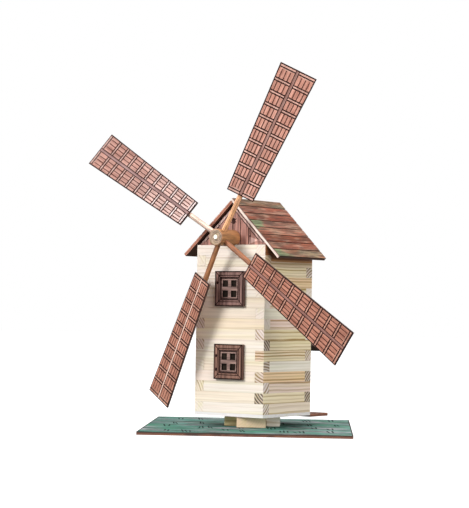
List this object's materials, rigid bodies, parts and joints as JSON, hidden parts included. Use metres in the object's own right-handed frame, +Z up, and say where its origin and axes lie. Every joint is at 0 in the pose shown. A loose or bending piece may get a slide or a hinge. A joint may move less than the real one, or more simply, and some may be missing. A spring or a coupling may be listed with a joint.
{
  "type": "wooden garden windmill model",
  "caption": "Table-top wooden post windmill: strip-built tower with a pitched roof, turning on a square base board, and a rotor of slatted sails.",
  "frame": {"origin": "underside of the base board, on the vertical axis that the mill body turns about", "axes": "+Z up, -Y towards the front edge of the base board, +X to the right; at rest the mill body stands turned 33.4 degrees clockwise seen from above"},
  "size_m": [0.2623, 0.254, 0.3425],
  "materials": {
    "pine": "bare sawn pine with end grain at the corners",
    "pine_dowel": "bare turned dowel",
    "green_ply": "plywood stained green with short dark engraved grass strokes",
    "brown_ply": "plywood stained brown with dark engraved lines",
    "roof_ply": "plywood stained brown, engraved as rows of boards",
    "sail_ply": "thin plywood stained terracotta, engraved as a lattice of slats",
    "stained_dowel": "turned dowel stained orange-brown"
  },
  "bodies": {
    "base": {"base_board": "green_ply", "cross_beam_long": "pine", "cross_beam_short": "pine", "pivot_dowel": "pine_dowel", "pivot_washer": "pine", "pivot_collar": "pine_dowel"},
    "mill": {"floor_plate": "pine", "front_wall": "pine", "right_wall": "pine", "back_wall": "pine", "left_wall": "pine", "upper_window_frame": "brown_ply", "upper_window_sash": "brown_ply", "lower_window_frame": "brown_ply", "lower_window_sash": "brown_ply", "door_leaf": "brown_ply", "door_frame": "brown_ply", "door_canopy": "roof_ply", "doorstep": "roof_ply", "right_roof_panel": "roof_ply", "left_roof_panel": "roof_ply", "front_gable": "brown_ply", "back_gable": "brown_ply", "front_bearing_block": "pine", "rear_bearing_block": "pine"},
    "rotor": {"hub": "stained_dowel", "windshaft": "pine_dowel", "shaft_retainer": "pine_dowel", "spar_a": "stained_dowel", "spar_b": "stained_dowel", "spar_c": "stained_dowel", "spar_d": "stained_dowel", "sail_a": "sail_ply", "sail_b": "sail_ply", "sail_c": "sail_ply", "sail_d": "sail_ply"}
  },
  "joints": [
    {"name": "mill_swivel", "type": "hinge", "parent": "base", "child": "mill", "pos_m": [0, 0, 0], "axis": [0, 0, 1], "continuous": true},
    {"name": "rotor_spin", "type": "hinge", "parent": "mill", "child": "rotor", "pos_m": [0, 0, 0.1824], "axis": [0.5505, 0.8348, 0], "continuous": true}
  ]
}
